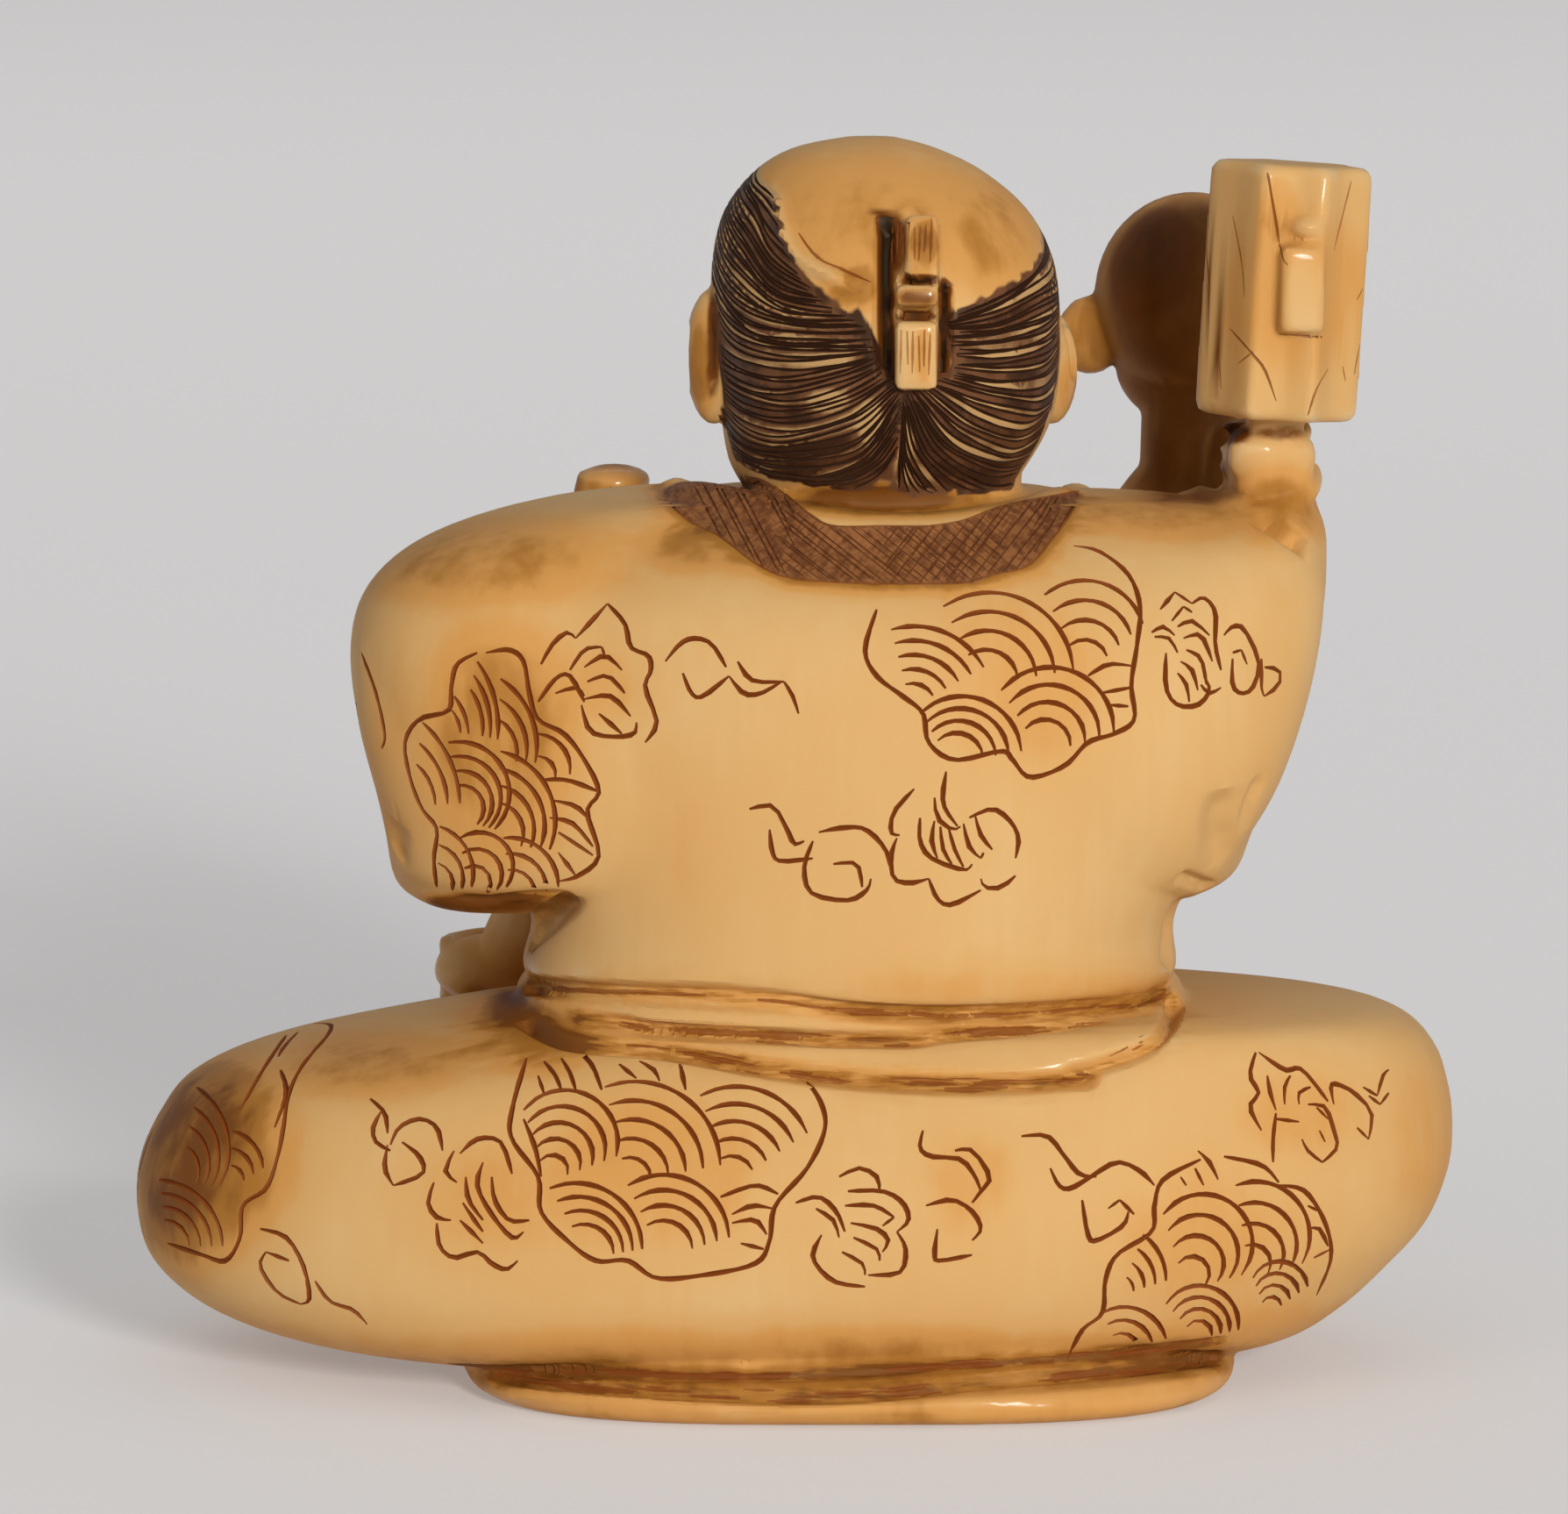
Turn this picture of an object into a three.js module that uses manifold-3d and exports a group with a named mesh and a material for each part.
// A netsuke carved from one piece of ivory: a carver sits cross-legged in a patterned jacket, a log
// mallet raised in the right hand and a chisel standing in the left, with a small robed figure on the
// right thigh. Millimetres, +Z up, +X to the carver's right hand, +Y the way the carver faces.
// The origin is the middle of the flat underside, where the netsuke stands.
import * as THREE from "three";
import { mergeVertices } from "three/addons/utils/BufferGeometryUtils.js";
import Module from "manifold-3d";

const wasm = await Module();
wasm.setup();

// Driving sizes. Everything below is placed from these or beside them.
const SEAT_TOP = 12.9; // top of the lap, where the sash begins
const JACKET_HEM = 13.5; // lower edge of the jacket, over the sash
const SHOULDER_TOP = 30.1;
const CROWN_TOP = 42.3;
const HEAD_CENTRE = new THREE.Vector3(1.15, -0.3, 36.2);
const HEAD_TURN = THREE.MathUtils.degToRad(10); // the head looks a little to the carver's left
const MALLET_FOOT = new THREE.Vector3(14.55, -1.0, 32.75);
const MALLET_TOP = new THREE.Vector3(15.1, -0.7, 41.45);
const MALLET_RADIUS = 2.84;
const RIGHT_FIST = new THREE.Vector3(14.25, -0.1, 31.2);
const LEFT_FIST = new THREE.Vector3(-12.7, 9.9, 11.8);
const CHISEL_TOP = new THREE.Vector3(-8.3, 8.0, 29.6);
const CHISEL_TIP = new THREE.Vector3(-12.1, 10.9, 8.8);
const FIGURE_FOOT = new THREE.Vector3(7.3, 9.3, 8.0); // the small robed figure stands on the thigh
const FIGURE_HEAD = new THREE.Vector3(12.1, 9.2, 36.0); // and leans out towards the mallet
const FIGURE_UPRIGHT = 27.5; // above this height it is upright
const CORD_HOLE_RADIUS = 1.3;
const CORD_HOLE_SPREAD = 3.6; // half the distance between the two cord holes

// A closed geometry as a solid, with shared vertices merged and collapsed triangles left out.
function solid(geometry) {
  const bare = geometry.index ? geometry.toNonIndexed() : geometry.clone();
  bare.deleteAttribute("normal");
  bare.deleteAttribute("uv");
  const merged = mergeVertices(bare, 1e-4);
  const index = merged.index.array;
  const kept = [];
  for (let i = 0; i < index.length; i += 3) {
    const [a, b, c] = [index[i], index[i + 1], index[i + 2]];
    if (a !== b && b !== c && a !== c) kept.push(a, b, c);
  }
  const made = new wasm.Manifold(
    new wasm.Mesh({
      numProp: 3,
      vertProperties: new Float32Array(merged.attributes.position.array),
      triVerts: new Uint32Array(kept),
    }),
  );
  return made;
}

// The value at t (0 to 1) of a smooth curve through rows of numbers.
function through(rows, t) {
  const last = rows.length - 1;
  const at = Math.min(Math.max(t, 0), 1) * last;
  const i = Math.min(Math.floor(at), last - 1);
  const f = at - i;
  const row = (k) => rows[Math.min(Math.max(k, 0), last)];
  return row(i).map((p1, n) => {
    const p0 = row(i - 1)[n];
    const p2 = row(i + 1)[n];
    const p3 = row(i + 2)[n];
    return (
      p1 +
      0.5 * f * (p2 - p0 + f * (2 * p0 - 5 * p1 + 4 * p2 - p3 + f * (3 * (p1 - p2) + p3 - p0)))
    );
  });
}

const blunt = (value, power) => Math.sign(value) * Math.abs(value) ** power;

// A mass of level sections, from its foot up. Each level is [height, left, right, back, front], and
// its outline is an oval that gets squarer as squareness rises above 2. ripple(angle, height) is
// added to the outline's reach, for folds.
function stack(levels, { around = 32, rings = 14, squareness = 2.3, ripple = () => 0 } = {}) {
  const ball = new THREE.SphereGeometry(1, around, rings).rotateX(Math.PI / 2);
  const place = ball.attributes.position;
  for (let i = 0; i < place.count; i += 1) {
    const latitude = Math.asin(THREE.MathUtils.clamp(place.getZ(i), -1, 1)) / Math.PI + 0.5;
    const ring = latitude * rings;
    const atPole = ring < 0.5 || ring > rings - 0.5;
    const share = (ring - 1) / (rings - 2);
    const [z, left, right, back, front] = through(levels, share);
    const angle = Math.atan2(place.getY(i), place.getX(i));
    const reach = atPole ? 0 : 1;
    const grow = ripple(angle, z);
    const halfX = (right - left) / 2 + grow;
    const halfY = (front - back) / 2 + grow;
    const x = (left + right) / 2 + reach * halfX * blunt(Math.cos(angle), 2 / squareness);
    const y = (back + front) / 2 + reach * halfY * blunt(Math.sin(angle), 2 / squareness);
    place.setXYZ(i, x, y, z);
  }
  return solid(ball);
}

// A limb: round sections along a smooth path of [x, y, z, radius] with round ends.
function limb(path, { around = 14, rings = 12 } = {}) {
  const ball = new THREE.SphereGeometry(1, around, rings).rotateX(Math.PI / 2);
  const place = ball.attributes.position;
  const spine = new THREE.CatmullRomCurve3(path.map(([x, y, z]) => new THREE.Vector3(x, y, z)));
  const length = spine.getLength();
  const startRadius = path[0][3];
  const endRadius = path[path.length - 1][3];
  const whole = length + startRadius + endRadius;
  const side = new THREE.Vector3();
  const up = new THREE.Vector3();
  for (let i = 0; i < place.count; i += 1) {
    const latitude = Math.asin(THREE.MathUtils.clamp(place.getZ(i), -1, 1)) / Math.PI + 0.5;
    const along = latitude * whole - startRadius;
    const t = THREE.MathUtils.clamp(along / length, 0, 1);
    const centre = spine.getPoint(t);
    const tangent = spine.getTangent(t);
    const radius = through(path, t)[3];
    let reach = radius;
    if (along < 0) {
      centre.addScaledVector(tangent, along);
      reach = Math.sqrt(Math.max(startRadius ** 2 - along ** 2, 0));
    } else if (along > length) {
      centre.addScaledVector(tangent, along - length);
      reach = Math.sqrt(Math.max(endRadius ** 2 - (along - length) ** 2, 0));
    }
    const steady = Math.abs(tangent.z) > 0.75 ? new THREE.Vector3(1, 0, 0) : new THREE.Vector3(0, 0, 1);
    side.crossVectors(steady, tangent).normalize();
    up.crossVectors(tangent, side);
    const angle = Math.atan2(place.getY(i), place.getX(i));
    centre.addScaledVector(side, reach * Math.cos(angle)).addScaledVector(up, reach * Math.sin(angle));
    place.setXYZ(i, centre.x, centre.y, centre.z);
  }
  return solid(ball);
}

// An ellipsoid with its half sizes along X, Y and Z, turned about Z.
function egg(centre, half, { turn = 0, around = 14, rings = 10 } = {}) {
  const ball = new THREE.SphereGeometry(1, around, rings)
    .rotateX(Math.PI / 2)
    .scale(...half)
    .rotateZ(turn)
    .translate(...centre);
  return solid(ball);
}

// A straight round bar between two points.
function bar(from, to, fromRadius, toRadius, around = 24) {
  const length = from.distanceTo(to);
  const turned = new THREE.Quaternion().setFromUnitVectors(
    new THREE.Vector3(0, 1, 0),
    to.clone().sub(from).normalize(),
  );
  const middle = from.clone().lerp(to, 0.5);
  const rod = new THREE.CylinderGeometry(toRadius, fromRadius, length, around)
    .applyQuaternion(turned)
    .translate(middle.x, middle.y, middle.z);
  return solid(rod);
}

// A point given beside the head's centre, turned with the head.
function onHead(x, y, z) {
  return new THREE.Vector3(x, y, z)
    .applyAxisAngle(new THREE.Vector3(0, 0, 1), HEAD_TURN)
    .add(HEAD_CENTRE)
    .toArray();
}

// The hem under the folded legs: the low oval foot that the netsuke stands on.
function hem() {
  return stack(
    [
      [0.0, -12.6, 12.4, -12.7, 8.6],
      [0.35, -13.2, 13.0, -13.2, 9.1],
      [0.8, -13.3, 13.1, -13.3, 9.2],
      [1.25, -12.9, 12.7, -12.8, 8.8],
      [1.8, -12.4, 12.2, -12.1, 8.3],
      [3.0, -12.0, 11.8, -11.2, 8.0],
    ],
    { around: 34, rings: 6, squareness: 2.6 },
  );
}

// The folded legs under the robe, as they show from behind: one wide pillow from knee to knee.
function seat() {
  return stack(
    [
      [0.8, -16.0, 13.2, -8.5, 6.5],
      [1.3, -19.6, 15.6, -10.6, 8.4],
      [2.3, -22.4, 17.2, -11.9, 9.6],
      [3.7, -24.1, 18.7, -12.5, 10.2],
      [5.2, -24.65, 20.0, -12.7, 10.5],
      [7.0, -24.6, 20.7, -12.6, 10.5],
      [8.6, -23.9, 20.8, -12.2, 10.2],
      [9.9, -22.8, 20.6, -11.7, 9.6],
      [11.0, -20.2, 20.2, -11.2, 8.6],
      [12.0, -15.6, 19.3, -10.6, 7.4],
      [12.6, -12.4, 17.7, -10.1, 6.0],
      [SEAT_TOP, -11.4, 14.6, -9.6, 5.0],
    ],
    { around: 38, rings: 12, squareness: 2.35 },
  );
}

// The two shins crossing in front, with the robe drawn over them in folds, and one foot showing.
function shins() {
  const left = limb(
    [
      [-20.2, 2.0, 5.9, 4.3],
      [-15.0, 7.4, 5.6, 4.3],
      [-7.0, 10.0, 4.8, 3.7],
      [2.0, 10.6, 4.2, 2.9],
    ],
    { around: 12, rings: 11 },
  );
  const right = limb(
    [
      [16.4, 2.2, 7.0, 4.2],
      [11.6, 7.6, 6.4, 4.3],
      [5.0, 9.9, 5.6, 3.6],
      [-2.5, 9.4, 5.4, 2.8],
    ],
    { around: 12, rings: 11 },
  );
  const foot = limb(
    [
      [-1.5, 11.6, 3.2, 1.5],
      [-4.4, 12.3, 2.9, 1.5],
      [-7.2, 12.6, 2.5, 1.25],
    ],
    { around: 10, rings: 7 },
  );
  return left.add(right).add(foot);
}

// The sash: two rolls of cloth round the waist between the jacket and the lap.
function sash() {
  const roll = (z, reach) =>
    stack(
      [
        [z - 0.62, -11.0 - reach, 10.9 + reach, -9.6 - reach, 5.8],
        [z - 0.25, -11.5 - reach, 11.4 + reach, -10.1 - reach, 6.2],
        [z + 0.25, -11.5 - reach, 11.4 + reach, -10.1 - reach, 6.2],
        [z + 0.62, -11.0 - reach, 10.9 + reach, -9.6 - reach, 5.8],
      ],
      { around: 32, rings: 5 },
    );
  return roll(12.05, 0.35).add(roll(13.1, -0.05));
}

// The jacket's body, from its hem over the sash to the shoulders.
function torso() {
  return stack(
    [
      [JACKET_HEM, -10.9, 10.9, -9.9, 6.0],
      [14.1, -11.3, 11.2, -10.4, 6.6],
      [15.6, -11.0, 11.1, -10.5, 6.9],
      [17.4, -11.6, 11.8, -10.4, 7.0],
      [20.5, -13.2, 13.0, -10.2, 7.2],
      [23.8, -14.4, 13.9, -9.8, 7.0],
      [26.6, -14.0, 14.0, -8.9, 6.2],
      [28.3, -12.0, 13.0, -7.4, 5.2],
      [29.3, -9.0, 10.8, -5.8, 4.4],
      [SHOULDER_TOP, -5.6, 7.2, -4.2, 3.8],
    ],
    { around: 30, rings: 11 },
  );
}

// The left sleeve hangs from the shoulder, cut off level below the elbow.
function leftSleeve() {
  const outside = stack(
    [
      [16.2, -15.0, -8.6, -5.4, 7.4],
      [16.8, -15.8, -7.6, -6.3, 8.4],
      [18.4, -16.1, -6.6, -7.2, 9.0],
      [20.4, -16.5, -5.6, -7.9, 8.6],
      [22.6, -17.0, -4.6, -8.3, 7.6],
      [24.8, -17.2, -4.0, -8.2, 6.6],
      [26.6, -16.8, -3.8, -7.6, 5.8],
      [28.0, -15.5, -3.8, -6.7, 5.2],
      [29.0, -13.4, -3.8, -5.6, 4.6],
      [29.7, -10.6, -3.6, -4.4, 4.0],
      [30.0, -8.0, -3.6, -3.6, 3.4],
    ],
    { around: 20, rings: 12, squareness: 2.5 },
  );
  const armHole = limb(
    [
      [-11.2, 9.5, 14.2, 2.1],
      [-11.4, 6.5, 15.9, 2.4],
      [-11.8, 3.8, 17.4, 1.7],
    ],
    { around: 10, rings: 6 },
  );
  return outside.subtract(armHole);
}

// The right sleeve: the upper arm lifted level, and the cuff open upward round the forearm.
function rightSleeve() {
  const outside = stack(
    [
      [16.5, 8.4, 12.2, -4.4, 4.4],
      [17.2, 7.4, 13.3, -5.8, 5.8],
      [18.7, 6.4, 13.9, -6.9, 6.6],
      [21.2, 5.4, 14.9, -7.6, 6.8],
      [23.8, 4.6, 15.8, -7.7, 6.6],
      [26.4, 4.4, 16.25, -7.1, 6.2],
      [28.1, 4.8, 16.35, -6.1, 5.6],
      [28.9, 6.6, 16.3, -5.0, 5.0],
      [29.5, 10.4, 16.1, -3.4, 4.6],
      [30.2, 12.6, 15.9, -1.6, 4.2],
    ],
    { around: 20, rings: 12, squareness: 2.5 },
  );
  const mouth = limb(
    [
      [14.5, -0.6, 31.6, 1.9],
      [14.3, -0.4, 29.4, 1.5],
      [14.1, 0.0, 28.2, 1.0],
    ],
    { around: 10, rings: 6 },
  );
  return outside.subtract(mouth);
}

// The collar rolled round the back of the neck, its two ends crossing on the chest.
function collar() {
  const across = limb(
    [
      [-6.0, 2.4, 29.2, 0.9],
      [-5.0, -1.6, 29.4, 1.2],
      [-1.6, -4.6, 28.9, 1.35],
      [1.8, -5.2, 28.6, 1.35],
      [5.4, -3.8, 28.9, 1.25],
      [7.2, -0.4, 29.2, 1.1],
      [7.4, 2.6, 28.9, 0.9],
    ],
    { around: 8, rings: 12 },
  );
  const leftLapel = limb(
    [
      [-6.0, 2.6, 29.4, 0.9],
      [-3.6, 5.0, 27.0, 0.85],
      [0.4, 6.7, 22.6, 0.8],
      [4.2, 7.1, 17.6, 0.75],
      [5.6, 6.8, 14.8, 0.7],
    ],
    { around: 7, rings: 8 },
  );
  const rightLapel = limb(
    [
      [7.8, 2.8, 29.2, 0.9],
      [5.4, 5.2, 26.6, 0.85],
      [1.9, 6.5, 22.8, 0.8],
      [-2.0, 6.9, 18.0, 0.7],
    ],
    { around: 7, rings: 7 },
  );
  return across.add(leftLapel).add(rightLapel);
}

// The neck and the head, with its jaw, nose, brow and ears.
function head() {
  const neck = stack(
    [
      [27.6, -3.4, 5.6, -4.4, 3.8],
      [29.4, -3.6, 5.8, -4.4, 4.0],
      [31.6, -3.7, 5.9, -4.6, 4.2],
      [33.0, -3.7, 5.9, -4.6, 4.2],
    ],
    { around: 16, rings: 4 },
  );
  const [x, y] = [HEAD_CENTRE.x, HEAD_CENTRE.y];
  const skull = stack(
    [
      [30.2, x - 4.8, x + 4.2, y - 3.8, y + 4.5],
      [31.2, x - 5.35, x + 5.0, y - 4.8, y + 5.4],
      [32.6, x - 5.6, x + 5.7, y - 5.8, y + 5.8],
      [34.4, x - 5.85, x + 6.0, y - 6.4, y + 5.9],
      [36.4, x - 5.95, x + 6.0, y - 6.6, y + 6.0],
      [38.2, x - 5.9, x + 5.75, y - 6.3, y + 5.9],
      [39.8, x - 5.5, x + 4.9, y - 5.4, y + 5.2],
      [41.1, x - 4.5, x + 3.4, y - 4.0, y + 3.9],
      [41.9, x - 3.2, x + 1.8, y - 2.6, y + 2.4],
      [CROWN_TOP, x - 1.4, x + 0.4, y - 0.9, y + 0.8],
    ],
    { around: 24, rings: 12, squareness: 2.15 },
  );
  const chin = egg(onHead(0, 4.2, -5.6), [2.0, 1.7, 1.3], { turn: HEAD_TURN, around: 10, rings: 7 });
  const nose = limb(
    [
      [...onHead(0, 5.9, 0.2), 0.4],
      [...onHead(0, 6.5, -1.3), 0.62],
      [...onHead(0, 6.5, -1.9), 0.75],
    ],
    { around: 8, rings: 6 },
  );
  let made = neck.add(skull).add(chin).add(nose);
  for (const sideways of [-1, 1]) {
    const ear = egg(onHead(sideways * 6.0, -0.2, -1.3), [0.85, 1.15, 2.35], {
      turn: HEAD_TURN - sideways * 0.5,
      around: 8,
      rings: 7,
    });
    made = made.add(ear);
  }
  return made;
}

// The topknot: a tail of hair folded up the back of the crown, with a tie round its middle.
function topknot() {
  const lower = limb(
    [
      [1.95, -6.9, 34.6, 0.72],
      [2.05, -7.3, 35.8, 0.78],
      [2.1, -7.0, 36.9, 0.74],
    ],
    { around: 8, rings: 6 },
  );
  const upper = limb(
    [
      [2.12, -6.8, 37.4, 0.74],
      [2.2, -6.3, 38.6, 0.8],
      [2.3, -5.4, 39.9, 0.78],
    ],
    { around: 8, rings: 6 },
  );
  const tie = egg([2.1, -6.9, 37.2], [0.95, 0.85, 0.55], { around: 8, rings: 6 });
  return lower.add(upper).add(tie);
}

// The right forearm, fist and mallet. The mallet is one log: a thick head and a thin grip below it.
function rightHand() {
  const forearm = limb(
    [
      [13.9, 1.4, 26.6, 1.6],
      [14.1, 0.4, 28.6, 1.25],
      [14.25, 0.0, 30.2, 1.1],
    ],
    { around: 10, rings: 6 },
  );
  const palm = egg(RIGHT_FIST.toArray(), [1.5, 1.5, 1.45], { around: 12, rings: 8 });
  const axis = MALLET_TOP.clone().sub(MALLET_FOOT).normalize();
  const grip = bar(MALLET_FOOT.clone().addScaledVector(axis, -3.4), MALLET_FOOT, 0.9, 1.0, 10);
  const log = bar(MALLET_FOOT, MALLET_TOP, MALLET_RADIUS, MALLET_RADIUS, 24);
  let hand = forearm.add(palm).add(grip).add(log);
  for (const finger of [0, 1, 2, 3]) {
    const z = RIGHT_FIST.z - 0.95 + finger * 0.62;
    const curled = limb(
      [
        [RIGHT_FIST.x + 1.3, RIGHT_FIST.y + 0.4, z, 0.36],
        [RIGHT_FIST.x + 0.9, RIGHT_FIST.y + 1.4, z, 0.4],
        [RIGHT_FIST.x - 0.3, RIGHT_FIST.y + 1.7, z, 0.4],
        [RIGHT_FIST.x - 1.2, RIGHT_FIST.y + 1.0, z, 0.34],
      ],
      { around: 5, rings: 4 },
    );
    hand = hand.add(curled);
  }
  return hand;
}

// The left forearm, the fist on the left knee, and the chisel that stands in it.
function leftHand() {
  const forearm = limb(
    [
      [-11.2, 3.6, 18.0, 1.7],
      [-10.9, 7.0, 15.2, 1.45],
      [-11.9, 9.2, 12.8, 1.25],
    ],
    { around: 10, rings: 8 },
  );
  const palm = egg(LEFT_FIST.toArray(), [2.1, 1.5, 1.3], { around: 12, rings: 8 });
  const handle = bar(LEFT_FIST.clone().lerp(CHISEL_TOP, 0.3), CHISEL_TOP, 0.85, 1.3, 12);
  const cap = egg(CHISEL_TOP.toArray(), [1.3, 1.3, 0.55], { around: 12, rings: 6 });
  const blade = bar(CHISEL_TIP, LEFT_FIST.clone().lerp(CHISEL_TOP, 0.32), 0.6, 0.8, 8);
  return forearm.add(palm).add(handle).add(cap).add(blade);
}

// The small robed figure that the carver is at work on: bald head, long ears, hands joined.
function robedFigure() {
  const axis = (z) => {
    const share = Math.min((z - FIGURE_FOOT.z) / (FIGURE_UPRIGHT - FIGURE_FOOT.z), 1);
    return FIGURE_FOOT.clone().lerp(FIGURE_HEAD, share).setZ(z);
  };
  const level = (z, wide, deep) => {
    const { x, y } = axis(z);
    return [z, x - wide, x + wide, y - deep, y + deep];
  };
  const robe = stack(
    [
      level(FIGURE_FOOT.z, 3.1, 3.0),
      level(11.6, 3.1, 3.0),
      level(14.0, 2.8, 2.75),
      level(18.0, 2.75, 2.6),
      level(22.0, 3.3, 2.75),
      level(25.4, 3.55, 2.7),
      level(27.6, 3.4, 2.4),
      level(29.0, 2.6, 2.0),
      level(29.9, 1.9, 1.7),
    ],
    { around: 18, rings: 11, ripple: (angle, z) => 0.14 * Math.cos(9 * angle) * Math.max(0, (20 - z) / 9) },
  );
  const beside = (sideways, forward, z) => {
    const { x, y } = axis(z);
    return [x + sideways, y + forward, z];
  };
  const neck = bar(axis(29.0), axis(32.6), 1.85, 1.75, 12);
  const crown = egg(FIGURE_HEAD.toArray(), [3.45, 3.5, 3.65], { around: 12, rings: 9 });
  const jaw = egg(beside(0, 0.6, 33.6), [2.7, 2.6, 2.3], { around: 10, rings: 6 });
  const nose = egg(beside(0, 3.4, 34.9), [0.45, 0.5, 0.8], { around: 6, rings: 4 });
  const hands = egg(beside(0, 2.6, 23.4), [1.1, 1.2, 1.6], { around: 8, rings: 6 });
  let made = robe.add(neck).add(crown).add(jaw).add(nose).add(hands);
  for (const side of [-1, 1]) {
    const ear = egg(beside(side * 3.4, 0, 34.6), [0.95, 0.7, 1.35], { around: 8, rings: 6 });
    const arm = limb(
      [
        [...beside(side * 3.2, 0.2, 26.2), 1.1],
        [...beside(side * 2.9, 1.6, 23.6), 1.15],
        [...beside(side * 1.2, 2.4, 22.6), 1.0],
      ],
      { around: 7, rings: 5 },
    );
    made = made.add(ear).add(arm);
  }
  return made;
}

// The tunnel for the cord: in at one hole of the underside, up and over, and out at the other.
function cordTunnel() {
  return limb(
    [
      [-CORD_HOLE_SPREAD, 0, -2, CORD_HOLE_RADIUS],
      [-CORD_HOLE_SPREAD * 0.95, 0, 1.2, CORD_HOLE_RADIUS],
      [0, 0, 3.9, CORD_HOLE_RADIUS * 0.9],
      [CORD_HOLE_SPREAD * 0.95, 0, 1.2, CORD_HOLE_RADIUS],
      [CORD_HOLE_SPREAD, 0, -2, CORD_HOLE_RADIUS],
    ],
    { around: 10, rings: 14 },
  );
}

// A solid's surface as a geometry.
function geometryOf(made) {
  const { numProp, vertProperties, triVerts, numVert } = made.getMesh();
  const places = new Float32Array(numVert * 3);
  for (let i = 0; i < numVert; i += 1) {
    places.set(vertProperties.subarray(i * numProp, i * numProp + 3), i * 3);
  }
  return new THREE.BufferGeometry()
    .setAttribute("position", new THREE.BufferAttribute(places, 3))
    .setIndex(new THREE.BufferAttribute(new Uint32Array(triVerts), 1));
}

const masses = [
  seat(),
  shins(),
  sash(),
  torso(),
  leftSleeve(),
  rightSleeve(),
  collar(),
  head(),
  topknot(),
  rightHand(),
  leftHand(),
  robedFigure(),
];
const joined = masses.reduce((whole, mass) => whole.add(mass), hem()).subtract(cordTunnel());
// The piece is solid, so of what the joining leaves only the outer skin is kept.
const carved = joined.decompose().reduce((most, body) => (body.volume() > most.volume() ? body : most));

const ivory = new THREE.MeshStandardMaterial({ color: 0xe2b77a, roughness: 0.35, metalness: 0 });
const netsuke = new THREE.Mesh(geometryOf(carved), ivory);
netsuke.name = "netsuke";

const part = new THREE.Group();
part.add(netsuke);
export default part;
